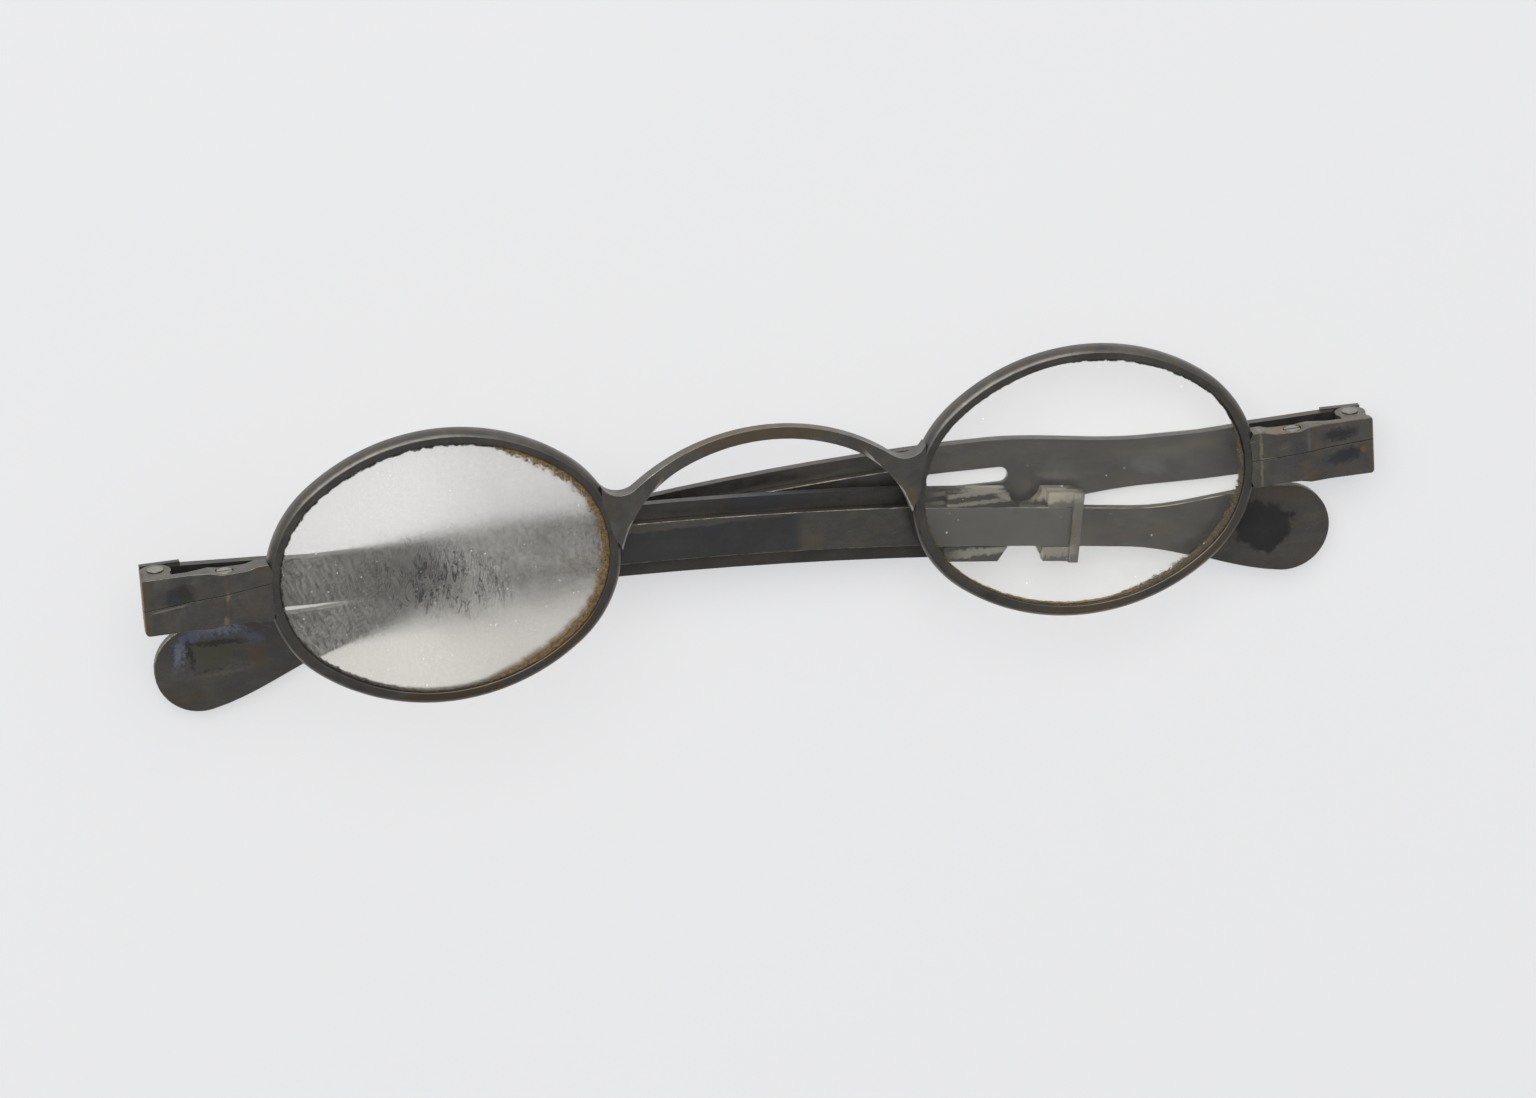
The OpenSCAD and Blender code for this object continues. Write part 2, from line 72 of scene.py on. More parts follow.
# Colours, as linear red, green and blue
BLUE_BLACK = (0.078, 0.081, 0.087)
DARK = (0.116, 0.113, 0.109)
GREY = (0.152, 0.144, 0.133)
PALE = (0.208, 0.193, 0.170)
BROWN = (0.196, 0.148, 0.098)
OCHRE = (0.240, 0.170, 0.088)
BRASS = (0.460, 0.350, 0.180)
CREAM = (0.500, 0.460, 0.400)
RUBBED = (0.300, 0.275, 0.235)
BLUE = (0.210, 0.230, 0.330)
PALE_BLUE = (0.31, 0.32, 0.38)
SEAM = (0.080, 0.078, 0.074)
SOLDER = (0.66, 0.61, 0.50)
DULL_SOLDER = (0.46, 0.43, 0.36)
# Painted highlight, for glints on the left temple's edges
EDGE_GLINT_PAINT = (0.75, 0.70, 0.60)
# Painted highlight, for the glints down the bridge's legs
LEG_LINE = (0.78, 0.74, 0.68)
RUST = (0.30, 0.190, 0.070)
SOOT = (0.020, 0.018, 0.015)
CRACK = (0.035, 0.038, 0.045)

# Noises, as scale per millimetre, detail, roughness and distortion
CLOUDS = (0.33, 6, 0.62, 0.6)
WARMTH = (0.55, 4, 0.6, 0.3)
COLD_PATCHES = (0.24, 7, 0.68, 0.9)
GRAIN = (6.0, 3, 0.6, 0)
SCRATCHES = (5.0, 2, 0.5, 0.4)
SHEEN = (1.1, 5, 0.6, 0)
DENTS = (0.9, 3, 0.5, 0)
PITS = (7.0, 4, 0.6, 0)
RUBBING = (0.8, 5, 0.65, 0.4)
EDGE_GRAIN = (7.0, 3, 0.6, 0)
HAZE = (0.12, 4, 0.6, 0.5)
MOTTLE = (3.0, 7, 0.8, 0.3)
STREAKS = (4.0, 3, 0.5, 0.2)
CRACKS = (0.8, 5, 0.6, 1.2)
SPECKLES = (5.5, 5, 0.9, 0)
FROST = (60.0, 1, 0.5, 0)
PAPER = (0.02, 3, 0.5, 0)
# The same without the scale, which each use sets
RAGGED = (5, 0.65, 0)
RAGGED_DIRT = (7, 0.85, 0)
SOME_SPECKS = (2, 0.5, 0)

METAL = "tarnished_silver"
STEEL = "small_steel"
METALLIC = 0.9
EDGE_ROUGH = 0.36
PAPER_ROUGH = 0.9
GLASS_IOR = 1.5
DENT_DEPTH, PIT_DEPTH, BUMP_SHARE = 0.04, 0.005, 0.6

# Edges at a greater angle than this are sharp, and rounded
SHARP = math.radians(30)
FLAT = math.radians(0.5)
WELD = 2e-6


# ---------- shader building ----------

class Shader:
    """Builds the node tree of one material, with positions in millimetres of a local frame."""

    def __init__(self, name, place):
        self.material = bpy.data.materials.new(name)
        self.material.use_nodes = True
        self.tree = self.material.node_tree
        self.tree.nodes.clear()
        self.out = self.tree.nodes.new("ShaderNodeOutputMaterial")
        coords = self.tree.nodes.new("ShaderNodeTexCoord")
        local = self.tree.nodes.new("ShaderNodeMapping")
        local.vector_type = "TEXTURE"
        where, turn, _ = place.decompose()
        flip = 1
        if place.determinant() < 0:  # the right temple's frame: mirrored, and not turned
            flip = -1
            turn = Matrix.Identity(3).to_quaternion()
        local.inputs["Location"].default_value = where * MM
        local.inputs["Rotation"].default_value = turn.to_euler("XYZ")
        local.inputs["Scale"].default_value = (flip * MM, MM, MM)
        self.tree.links.new(coords.outputs["Object"], local.inputs["Vector"])
        self.place = local.outputs[0]

    def link(self, value, socket):
        """Links an output to a socket, or sets the socket to a number or colour."""
        if hasattr(value, "is_output"):
            self.tree.links.new(value, socket)
        elif socket.type == "RGBA" and len(value) == 3:
            socket.default_value = (*value, 1)
        else:
            socket.default_value = value

    def math(self, kind, a, b=0.0, clamp=False):
        n = self.tree.nodes.new("ShaderNodeMath")
        n.operation = kind
        n.use_clamp = clamp
        self.link(a, n.inputs[0])
        self.link(b, n.inputs[1])
        return n.outputs[0]

    def times(self, value, *others):
        for other in others:
            value = self.math("MULTIPLY", value, other)
        return value

    def vector(self, kind, a, b=(0, 0, 0), scale=None):
        n = self.tree.nodes.new("ShaderNodeVectorMath")
        n.operation = kind
        self.link(a, n.inputs[0])
        if scale is not None:
            self.link(scale, n.inputs["Scale"])
        elif kind not in ("LENGTH", "ABSOLUTE"):
            self.link(b, n.inputs[1])
        return n.outputs["Value" if kind in ("LENGTH", "DISTANCE") else "Vector"]

    def split(self, vector):
        n = self.tree.nodes.new("ShaderNodeSeparateXYZ")
        self.link(vector, n.inputs[0])
        return n.outputs

    def mapping(self, vector, at=(0, 0, 0), turn=0.0, size=(1, 1, 1)):
        n = self.tree.nodes.new("ShaderNodeMapping")
        n.vector_type = "TEXTURE"
        self.link(vector, n.inputs["Vector"])
        n.inputs["Location"].default_value = at
        n.inputs["Rotation"].default_value = (0, 0, math.radians(turn))
        n.inputs["Scale"].default_value = size
        return n.outputs[0]

    def noise(self, scale, detail, rough, warp, seed, vector=None, colour=False):
        n = self.tree.nodes.new("ShaderNodeTexNoise")
        n.noise_dimensions = "4D"
        self.link(self.place if vector is None else vector, n.inputs["Vector"])
        n.inputs["W"].default_value = seed
        n.inputs["Scale"].default_value = scale
        n.inputs["Detail"].default_value = detail
        n.inputs["Roughness"].default_value = rough
        n.inputs["Distortion"].default_value = warp
        return n.outputs["Color" if colour else 0]

    def spots(self, scale, vector):
        """Distance to the nearest of many scattered points."""
        n = self.tree.nodes.new("ShaderNodeTexVoronoi")
        n.inputs["Scale"].default_value = scale
        self.link(vector, n.inputs["Vector"])
        return n.outputs["Distance"]

    def step(self, value, low, high, out=(0.0, 1.0)):
        """A smooth step between two numbers, as the value goes from low to high."""
        n = self.tree.nodes.new("ShaderNodeMapRange")
        n.interpolation_type = "SMOOTHSTEP"
        self.link(value, n.inputs["Value"])
        n.inputs["From Min"].default_value = low
        n.inputs["From Max"].default_value = high
        n.inputs["To Min"].default_value = out[0]
        n.inputs["To Max"].default_value = out[1]
        return n.outputs[0]

    def ramp(self, value, *stops):
        n = self.tree.nodes.new("ShaderNodeValToRGB")
        while len(n.color_ramp.elements) < len(stops):
            n.color_ramp.elements.new(0.5)
        for e, (at, colour) in zip(n.color_ramp.elements, stops):
            e.position = at
            e.color = (*colour, 1)
        self.link(value, n.inputs[0])
        return n.outputs[0]

    def mix(self, share, a, b, kind="MIX"):
        n = self.tree.nodes.new("ShaderNodeMix")
        n.data_type = "RGBA"
        n.blend_type = kind
        self.link(share, n.inputs["Factor"])
        self.link(a, n.inputs["A"])
        self.link(b, n.inputs["B"])
        return next(o for o in n.outputs if o.type == "RGBA")

    def grain(self, colour, fine, low, high):
        """The colour, made darker and lighter by a fine noise, between two greys."""
        greys = self.ramp(fine, (0.3, (low,) * 3), (0.7, (high,) * 3))
        return self.mix(0.5, colour, greys, "OVERLAY")

    def wander(self, grain, reach, seed):
        """The local position, shifted about by noise, for ragged outlines."""
        some = self.noise(grain, *RAGGED, seed, colour=True)
        shift = self.vector("SUBTRACT", some, (0.5, 0.5, 0.5))
        return self.vector("ADD", self.place, self.vector("SCALE", shift, scale=2 * reach))

    def patch(self, kind, at, size, turn, soft, ragged, seed):
        """A mask of 1 inside an oval or a box, in the local frame, with a ragged edge."""
        small, deep = min(size), 9
        grain, reach = 1.6 / max(small, 0.6), 2.4 * ragged * small
        local = self.mapping(self.wander(grain, reach, seed), (*at, 0), turn, (*size, deep))
        if kind == "box":
            x, y = self.split(self.vector("ABSOLUTE", local))[:2]
            far = self.math("MAXIMUM", x, y)
        else:
            far = self.vector("LENGTH", local)
        return self.step(far, 1 - soft, 1 + soft, (1.0, 0.0))

    def paint(self, colour, marks, seed):
        """The colour with marks over it, one after the other.

        A mark is its kind, its middle and half sizes in millimetres of the local frame, its
        turn in degrees, its colour, how much of that shows, how soft its edge is, from 0 to 1,
        and how ragged.
        """
        for kind, at, size, turn, tint, share, soft, ragged in marks:
            mask = self.patch(kind, at, size, turn, soft, ragged, seed + at[0])
            colour = self.mix(self.times(mask, share), colour, tint)
        return colour

    def inward(self):
        """Distance in millimetres from the rim's outline inward, in a lens's own frame."""
        p = self.vector("MULTIPLY", self.vector("ABSOLUTE", self.place), (1, 1, 0))
        at_end = self.math("SUBTRACT", END_R, self.vector("DISTANCE", p, (END_X, 0, 0)))
        at_side = self.math("SUBTRACT", SIDE_R, self.vector("DISTANCE", p, (0, -SIDE_Y, 0)))
        x, y = self.split(p)[:2]
        slope = self.times(self.math("SUBTRACT", x, END_X), math.tan(JOIN))
        side = self.math("GREATER_THAN", self.math("SUBTRACT", y, slope), 0.0)
        end = self.math("SUBTRACT", 1.0, side)
        return self.math("ADD", self.times(at_side, side), self.times(at_end, end))

    def sector(self, start, end, soft=0.3):
        """A mask of 1 between two angles, in degrees, seen from the middle of the local frame."""
        x, y = self.split(self.place)[:2]
        angle = self.math("ARCTAN2", y, x)
        mid, half = math.radians((start + end) / 2), math.radians((end - start) / 2)
        near = self.math("COSINE", self.math("SUBTRACT", angle, mid))
        return self.step(near, math.cos(half + soft), math.cos(max(half - soft, 0.05)))

    def bump(self, height, depth, strength=1.0, normal=None):
        n = self.tree.nodes.new("ShaderNodeBump")
        n.inputs["Strength"].default_value = strength
        n.inputs["Distance"].default_value = depth * MM
        self.link(height, n.inputs["Height"])
        if normal is not None:
            self.link(normal, n.inputs["Normal"])
        return n.outputs[0]

    def principled(self, colour, rough, metal, normal=None, **more):
        n = self.tree.nodes.new("ShaderNodeBsdfPrincipled")
        self.link(colour, n.inputs["Base Color"])
        self.link(rough, n.inputs["Roughness"])
        self.link(metal, n.inputs["Metallic"])
        if normal is not None:
            self.link(normal, n.inputs["Normal"])
        for name, value in more.items():
            self.link(value, n.inputs[name.replace("_", " ")])
        self.tree.links.new(n.outputs[0], self.out.inputs["Surface"])
        return n.outputs[0]

    def let_through(self, share, surface, tint=(1, 1, 1)):
        """Lets rays go straight through the surface, by a share, tinted on their way."""
        clear = self.tree.nodes.new("ShaderNodeBsdfTransparent")
        self.link(tint, clear.inputs["Color"])
        both = self.tree.nodes.new("ShaderNodeMixShader")
        self.link(share, both.inputs[0])
        self.link(surface, both.inputs[1])
        self.link(clear.outputs[0], both.inputs[2])
        self.link(both.outputs[0], self.out.inputs["Surface"])


def tarnished(name, place, seed, tone, brown, patchy, along=1.0, marks=(), rough=0.38):
    """Old silver: grey-brown tarnish, blue-black patches, fine scratches and a few local marks."""
    s = Shader(name, place)
    flow = s.mapping(s.place, size=(along, 1, 1))
    cloud = s.noise(*CLOUDS, seed, flow)
    colour = s.ramp(cloud, (0.32, DARK), (0.52, GREY), (0.74, PALE))
    warm = s.step(s.noise(*WARMTH, seed + 7, flow), 0.45, 0.75, (0.0, 2.2 * brown))
    colour = s.mix(warm, colour, BROWN)
    cold = s.step(s.noise(*COLD_PATCHES, seed + 13, flow), 0.58, 0.62, (0.0, 1.6 * patchy))
    colour = s.mix(cold, colour, BLUE_BLACK)
    colour = s.grain(colour, s.noise(*GRAIN, seed + 3), 0.42, 0.58)
    hair = s.noise(*SCRATCHES, seed + 21, s.mapping(s.place, turn=14, size=(9, 0.35, 1)))
    scratch = s.times(s.step(hair, 0.69, 0.74), 0.4)
    colour = s.mix(scratch, colour, CREAM)
    colour = s.mix(1.0, colour, (tone, tone, tone), "MULTIPLY")
    colour = s.paint(colour, marks, seed)
    sheen = s.noise(*SHEEN, seed + 5)
    roughness = s.step(sheen, 0.2, 0.8, (rough - 0.07, rough + 0.10))
    dents = s.bump(s.noise(*DENTS, seed + 2), DENT_DEPTH, BUMP_SHARE)
    pits = s.bump(s.noise(*PITS, seed + 4), PIT_DEPTH, BUMP_SHARE, dents)
    s.principled(colour, roughness, METALLIC, pits)
    return s.material


def worn_edge_and_glint(name, place, seed, rubbed, dark, marks=()):
    """Rounded edges rubbed to paler metal in places, and painted highlights put on by marks."""
    s = Shader(name, place)
    rub = s.step(s.noise(*RUBBING, seed), 0.36, 0.62)
    colour = s.paint(s.mix(rub, dark, rubbed), marks, seed)
    fine = s.noise(*EDGE_GRAIN, seed + 3)
    colour = s.grain(colour, fine, 0.36, 0.64)
    s.principled(colour, EDGE_ROUGH, METALLIC, s.bump(fine, PIT_DEPTH, BUMP_SHARE))
    return s.material


def veil_over(s, flat, seed, haze, mottle, streaks, specks, few):
    """The share of the glass that haze, fine streaks and white specks cover."""
    across = s.split(flat)[0]
    veil = s.step(s.noise(*HAZE, seed, flat), 0.3, 0.7, haze)
    veil = s.times(veil, s.step(across, -15, 2, (0.72, 1.1)))
    fine = s.noise(*MOTTLE, seed + 1, flat)
    veil = s.times(veil, s.step(fine, 0.40, 0.60, (1 - mottle, 1 + mottle)))
    lines = s.noise(*STREAKS, seed + 2, s.mapping(flat, turn=80, size=(7, 0.5, 1)))
    veil = s.math("ADD", veil, s.times(s.step(lines, 0.56, 0.7), streaks))
    on_front = s.math("GREATER_THAN", s.split(s.place)[2], LENS_Z)
    for scale, size, some in ((0.8, 0.10, few - 0.04), (1.5, 0.12, few + 0.02)):
        speck = s.step(s.spots(scale, flat), 0.5 * size, size, (specks, 0.0))
        patchy = s.noise(0.9 * scale, *SOME_SPECKS, seed + 8 + scale, flat)
        choose = s.step(patchy, some, some + 0.05)
        veil = s.math("MAXIMUM", veil, s.times(speck, choose, on_front))
    return veil


def grime_on(s, flat, seed, colour, grime):
    """The colour and the cover of ragged dirt along the rim.

    Each stretch of dirt is its first and last angle in degrees, its width in millimetres, its
    colour, and the scale of its ragged edge.
    """
    depth = s.math("SUBTRACT", s.inward(), RIM_FACE)
    dirt = 0.0
    for i, (start, end, width, tone, grain) in enumerate(grime):
        edge = s.noise(grain, *RAGGED_DIRT, seed + 4 + i, flat)
        ragged = s.step(edge, 0.35, 0.65, (0.3 * width, 2.0 * width))
        ragged = s.times(ragged, s.sector(start, end))
        mask = s.times(s.step(s.math("SUBTRACT", ragged, depth), 0.0, 0.10), 0.97)
        dark, light = tuple(0.12 * t for t in tone), tuple(1.15 * t for t in tone)
        speckle = s.ramp(s.noise(*SPECKLES, seed + 9, flat), (0.42, dark), (0.60, light))
        colour = s.mix(s.math("MULTIPLY", mask, 6.0, clamp=True), colour, speckle)
        dirt = s.math("MAXIMUM", dirt, mask)
    return colour, dirt


def cracks_in(s, flat, seed):
    """The cover of fine dark cracks in the film on the glass, near its middle."""
    lines = s.noise(*CRACKS, seed + 15, s.mapping(flat, turn=-4, size=(0.8, 2.6, 1)))
    off_line = s.math("ABSOLUTE", s.math("SUBTRACT", lines, 0.5))
    crack = s.step(off_line, 0.008, 0.024, (0.32, 0.0))
    return s.times(crack, s.patch("oval", (-1.4, -0.8), (7.6, 3.2), -8, 0.5, 0.3, seed))


def glass(name, place, seed, veil, tint_and_shade, grime, shade, cracks=False, frost=0.0):
    """Old glass: haze and specks, dirt gathered along the rim, and where asked cracks and frost.

    The two tints are the glass's colour at its lower and upper edge: its own warm tint, made
    darker at the lower edge as painted shade of the shadow below the lens. shade is how much light
    each face lets on to what lies below, and frost is the depth in millimetres of a very fine bump.
    """
    s = Shader(name, place)
    flat = s.vector("MULTIPLY", s.place, (1, 1, 0))
    across, up = s.split(flat)[:2]
    hazy = veil_over(s, flat, seed, **veil)
    # The glass's warm tint, darker towards the lower edge as painted shade
    colour = s.mix(s.step(up, -9, 7), *tint_and_shade)
    colour, dirt = grime_on(s, flat, seed, colour, grime)
    cover = s.math("MAXIMUM", hazy, dirt, clamp=True)
    if cracks:
        crack = cracks_in(s, flat, seed)
        colour = s.mix(s.math("MULTIPLY", crack, 3.0, clamp=True), colour, CRACK)
        cover = s.math("MAXIMUM", cover, crack, clamp=True)
    clear = s.math("SUBTRACT", 1.0, cover, clamp=True)
    dull = s.step(across, -14, 2, (0.04, 0.2 if frost else 0.06))
    roughness = s.math("MAXIMUM", s.step(cover, 0.3, 0.9, (0.03, 0.55)), dull)
    frosted = None
    if frost:
        bare = s.step(dirt, 0.3, 0.5, (1.0, 0.0))
        ground = s.times(s.step(across, -12, 7), bare)
        frosted = s.bump(s.times(s.noise(*FROST, seed + 17, flat), ground), frost)
    body = s.principled(colour, roughness, 0.0, frosted, Transmission_Weight=clear, IOR=GLASS_IOR)
    path = s.tree.nodes.new("ShaderNodeLightPath")
    s.let_through(path.outputs["Is Shadow Ray"], body, (shade, shade, shade))
    return s.material


# ---------- pieces ----------

def add(name, mesh, materials, body, slot, *nodes):
    """Puts a piece into the scene, on a body, in place of CAD nodes."""
    obj = bpy.data.objects.new(name, mesh)
    bpy.context.scene.collection.objects.link(obj)
    for m in materials:
        obj.data.materials.append(m)
    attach(obj, body)
    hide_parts(*nodes)
    return obj


def on_front(co):
    """A point of the model, in metres, as millimetres in the front's own frame."""
    return INTO_FRONT @ (co / MM)


def sink_foot(bm, centre_x, reach, slope, halved=False):
    """Moves the foot that stands on a rim's end arc into the rim, less towards its outer ends.

    reach is how far it goes in millimetres, and slope how soon it does so from an end. halved is
    for a mesh that holds half a foot, which tapers as the whole foot does.
    """
    near_arc = 0.03
    for side in (-1, 1):
        mid = Vector((side * centre_x, 0, 0))
        foot = []
        for v in bm.verts:
            p = on_front(v.co)
            flat = Vector((p.x, p.y, 0)) - mid
            if p.x * side > 0 and abs(flat.length - END_R) < near_arc:
                foot.append((v, p, flat, math.atan2(flat.y, abs(flat.x))))
        if not foot:
            continue
        low, high = min(f[3] for f in foot), max(f[3] for f in foot)
        if halved:
            high = max(high, -low)
            low = -high
        for v, p, flat, turn in foot:
            room = END_R * min(turn - low, high - turn)
            p -= flat.normalized() * min(reach, slope * room)
            v.co = FRONT @ p * MM


def rounded(node, name, body, slot, materials, width, segments, change=None, share=None):
    """A copy of a CAD node's mesh with its edges rounded off, all alike or each by its own share.

    The last material goes on the rounded edges.
    """
    bm = bmesh.new()
    bm.from_mesh(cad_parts[node].data)
    bmesh.ops.remove_doubles(bm, verts=bm.verts, dist=WELD)
    bmesh.ops.dissolve_limit(bm, angle_limit=FLAT, verts=bm.verts, edges=bm.edges)
    if share:
        weight = bm.edges.layers.float.new("bevel_weight_edge")
        for e in bm.edges:
            if e.is_manifold and e.calc_face_angle(0) > SHARP:
                e[weight] = share(*(on_front(v.co) for v in e.verts))
    if change:
        change(bm)
    mesh = bpy.data.meshes.new(name)
    bm.to_mesh(mesh)
    bm.free()
    mesh.materials.clear()
    obj = add(name, mesh, materials, body, slot, node)
    bevel = obj.modifiers.new("edges", "BEVEL")
    bevel.width = width * MM
    bevel.segments = segments
    bevel.limit_method = "WEIGHT" if share else "ANGLE"
    bevel.angle_limit = SHARP
    bevel.material = len(materials) - 1
    bevel.harden_normals = True
    bevel.use_clamp_overlap = True
    for p in mesh.polygons:
        p.use_smooth = True
        p.material_index = 0
    mesh.set_sharp_from_angle(angle=SHARP)


def oval_points(steps):
    """Centres, radii and angles of points along the rim's outline."""
    arcs = [
        ((END_X, 0), END_R, -JOIN, JOIN), ((0, -SIDE_Y), SIDE_R, JOIN, math.pi - JOIN),
        ((-END_X, 0), END_R, math.pi - JOIN, math.pi + JOIN),
        ((0, SIDE_Y), SIDE_R, math.pi + JOIN, 2 * math.pi - JOIN),
    ]
    least = 8
    whole = sum(r * (b - a) for _, r, a, b in arcs)
    out = []
    for (cx, cy), r, a, b in arcs:
        n = max(least, round(steps * r * (b - a) / whole))
        for i in range(n):
            t = a + (b - a) * i / n
            out.append((Vector((cx, cy)), r, t))
    return out


def finished(bm, name, sharp):
    """The mesh of a bmesh, smooth but for edges of more than an angle in degrees."""
    bmesh.ops.recalc_face_normals(bm, faces=bm.faces)
    for f in bm.faces:
        f.smooth = True
    mesh = bpy.data.meshes.new(name)
    bm.to_mesh(mesh)
    bm.free()
    mesh.set_sharp_from_angle(angle=math.radians(sharp))
    return mesh


def swept(name, section, place, worn, steps=240):
    """A mesh of a section, given as (distance inward, depth) pairs, run round the oval.

    The sides of the section that are worn get the second material.
    """
    bm = bmesh.new()
    rings = []
    for centre, r, t in oval_points(steps):
        ring = []
        for inward, w in section:
            p = centre + (r - inward) * Vector((math.cos(t), math.sin(t)))
            ring.append(bm.verts.new(place @ Vector((p.x, p.y, w)) * MM))
        rings.append(ring)
    for ring, after in zip(rings, rings[1:] + rings[:1]):
        for k in range(len(section)):
            j = (k + 1) % len(section)
            f = bm.faces.new((ring[k], after[k], after[j], ring[j]))
            f.material_index = 1 if k in worn else 0
    return finished(bm, name, sharp=14)


def corner(mid, r, start, end, steps):
    """Points along an arc, from one angle in degrees to another."""
    turn = [math.radians(start + (end - start) * i / steps) for i in range(steps + 1)]
    return [(mid[0] + r * math.cos(t), mid[1] + r * math.sin(t)) for t in turn]


def rim_section():
    """The rim's section: a rounded outer side, a crease on the front and a flat inner band.

    It is given as (distance inward, depth) pairs, and the crease as the number of its side.
    """
    outer_r, outer_z, drop = 0.86, -0.765, 0.015
    lip, lip_z, heel, back = 0.10, -0.115, 0.14, 0.38
    groove, mouth, ledge = RIM_FACE - 0.2, 0.36, 0.34
    outer = corner((outer_r, outer_z - drop), outer_r, 180, 120, 8)
    crease = len(outer) - 1
    return crease, (
        outer
        + [(0.49, -drop), (0.9, -drop)]
        + corner((RIM_FACE - lip, lip_z), lip, 90, 0, 9)
        + [(RIM_FACE, -0.35), (RIM_FACE, LENS_Z + mouth), (groove, LENS_Z + ledge)]
        + [(groove, LENS_Z - ledge), (RIM_FACE, LENS_Z - mouth)]
        + corner((RIM_FACE - heel, -RIM_DEPTH + heel), heel, 0, -90, 9)
        + corner((back, -RIM_DEPTH + back), back, -90, -180, 9)
    )


def lens_mesh(name, place, steps=180, rows=16):
    """The glass: a ground edge in the groove and two domed faces."""
    into_groove, chamfer, beside_rim = 0.18, 0.03, 0.02
    bm = bmesh.new()
    points = oval_points(steps)

    def ring(inward, z, scale=1.0):
        """A ring of points at a height, or on the dome where that is None."""
        out = []
        for centre, r, t in points:
            p = (centre + (r - inward) * Vector((math.cos(t), math.sin(t)))) * scale
            dome = LENS_MIDDLE / 2 - p.length_squared / (2 * DOME_R)
            out.append((p.x, p.y, dome if z is None else z))
        return out

    def face(sign):
        rings = [ring(RIM_FACE - into_groove, LENS_EDGE / 2 - chamfer)]
        rings += [ring(RIM_FACE, LENS_EDGE / 2)]
        rings += [ring(RIM_FACE + beside_rim, None, 1 - i / rows) for i in range(rows)]
        return [
            [bm.verts.new(place @ Vector((x, y, LENS_Z + sign * z)) * MM) for x, y, z in r]
            for r in rings
        ]

    front, back = face(1), face(-1)
    count = len(front[0])
    for rings in (front, back):
        for a, b in zip(rings, rings[1:]):
            for i in range(count):
                j = (i + 1) % count
                bm.faces.new((a[i], a[j], b[j], b[i]))
    for rings, sign in ((front, 1), (back, -1)):
        middle = bm.verts.new(place @ Vector((0, 0, LENS_Z + sign * LENS_MIDDLE / 2)) * MM)
        last = rings[-1]
        for i in range(count):
            bm.faces.new((last[i], last[(i + 1) % count], middle))
    for i in range(count):
        j = (i + 1) % count
        bm.faces.new((front[0][i], back[0][i], back[0][j], front[0][j]))
    return finished(bm, name, sharp=15)


# ---------- rims and glass ----------

SIDES = (("left", -1), ("right", 1))

RIM_MARKS = {
    "left": [
        ("oval", (0, -13.8), (12.0, 2.4), 0, (0.130, 0.097, 0.060), 0.9, 0.3, 0.3),
        ("oval", (11.5, -8.0), (4.0, 3.0), 0, (0.140, 0.105, 0.065), 0.7, 0.4, 0.3),
    ],
    "right": [
        ("oval", (0, -13.8), (12.0, 2.4), 0, BROWN, 0.8, 0.3, 0.3),
        ("oval", (11.5, -8.0), (4.0, 3.0), 0, BROWN, 0.5, 0.4, 0.3),
    ],
}


def lens_place(sign):
    return FRONT @ Matrix.Translation((sign * LENS_X, 0, 0))


for side, sign in SIDES:
    rim = tarnished(
        side + "_rim_metal", lens_place(sign), 3.0 + sign, tone=0.86, brown=0.2, patchy=0.25,
        marks=RIM_MARKS[side], rough=0.34,
    )
    line = worn_edge_and_glint(
        side + "_rim_crease", lens_place(sign), 8.0 + sign, (0.20, 0.19, 0.17),
        (0.12, 0.115, 0.108),
    )
    crease, section = rim_section()
    mesh = swept(side + "_rim_ring", section, lens_place(sign), [crease])
    add(side + "_rim_ring", mesh, [rim, line], "front", METAL, side + "_rim")

GLASS = {
    "left": glass(
        "left_glass", lens_place(-1), 2.0,
        veil={"haze": (0.045, 0.140), "mottle": 0.95, "streaks": 0.05, "specks": 0.50, "few": 0.40},
        # Warm tint, darker at the lower edge as painted shade
        tint_and_shade=[(0.86, 0.835, 0.775), (0.97, 0.96, 0.935)],
        grime=[
            (-70, 60, 0.55, RUST, 2.6),
            (-150, -60, 0.16, (0.12, 0.085, 0.045), 2.0),
            (60, 245, 0.17, (0.050, 0.038, 0.024), 1.4),
        ],
        shade=0.88, cracks=True, frost=0.03,
    ),
    "right": glass(
        "right_glass", lens_place(1), 5.0,
        veil={"haze": (0.0, 0.006), "mottle": 0.5, "streaks": 0.012, "specks": 0.6, "few": 0.58},
        # Warm tint, darker at the lower edge as painted shade
        tint_and_shade=[(0.96, 0.955, 0.93), (1.0, 1.0, 0.985)],
        grime=[
            (-70, 12, 0.36, (0.19, 0.145, 0.09), 2.4),
            (105, 310, 0.10, RUST, 2.0),
            (0, 95, 0.12, SOOT, 1.3),
        ],
        shade=0.96,
    ),
}
for side, sign in SIDES:
    mesh = lens_mesh(side + "_lens_glass", lens_place(sign))
    add(side + "_lens_glass", mesh, [GLASS[side]], "front", "glass", side + "_lens")


# ---------- bridge ----------

NEAR_FOOT = 0.08
FRONT_FROM, SHORT_EDGE, NEAR_ARCH, SLIGHTLY = -0.2, 0.6, 0.12, 0.28


def at_foot(mid, centre_x):
    """Whether an edge lies on a rim's end arc, where it sinks into the rim and isn't rounded."""
    return abs(math.hypot(abs(mid.x) - centre_x, mid.y) - END_R) < NEAR_FOOT


def bridge_share(a, b):
    """How much of the full width an edge of the bridge is rounded by: the arch's front the most."""
    m = (a + b) / 2
    if at_foot(m, BRIDGE_END_X):
        return 0.0
    length = (a - b).length
    along = abs(a.z - b.z) < 0.5 * length or length < SHORT_EDGE
    upper = math.hypot(m.x - ARCH_MID[0], m.y - ARCH_MID[1]) > ARCH_OUT - NEAR_ARCH
    return 1.0 if m.z > FRONT_FROM and along and upper else SLIGHTLY


